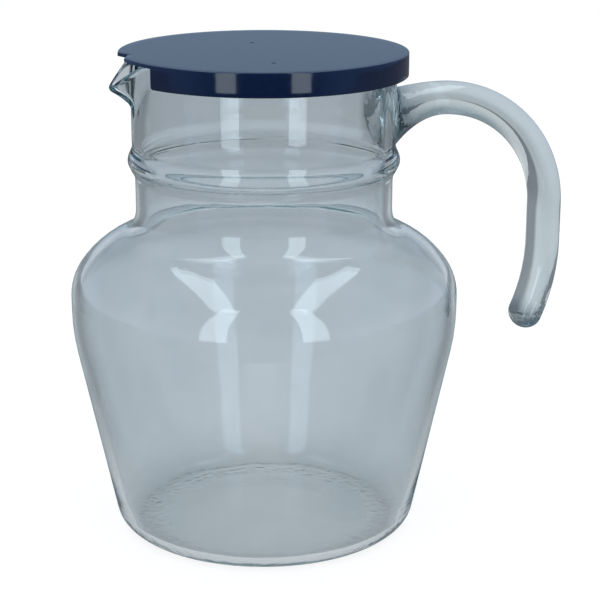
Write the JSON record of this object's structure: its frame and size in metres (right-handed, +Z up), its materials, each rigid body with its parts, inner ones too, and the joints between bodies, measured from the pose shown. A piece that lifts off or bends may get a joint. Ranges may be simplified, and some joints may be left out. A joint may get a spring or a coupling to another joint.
{
  "type": "glass pitcher with lid",
  "caption": "Clear glass jug with a flared body, pulled spout and open hook handle, closed by a flat navy plastic lid that lifts off; for serving cold drinks.",
  "frame": {"origin": "on the table under the jug's axis, in the plane of the flat ring it stands on", "axes": "+Z up along the jug's axis, +X towards the handle, -X towards the spout"},
  "size_m": [0.1943, 0.1476, 0.1849],
  "materials": {
    "clear_glass": "clear fire-polished glass with a faint aqua tint",
    "navy_plastic": "smooth moulded plastic, half gloss"
  },
  "bodies": {
    "jug": {"glass_vessel": "clear_glass", "glass_handle": "clear_glass"},
    "lid": {"lid": "navy_plastic"}
  },
  "joints": [
    {"name": "lid_lift", "type": "slide", "parent": "jug", "child": "lid", "axis": [0, 0, 1], "range_m": [0, 0.08]}
  ]
}
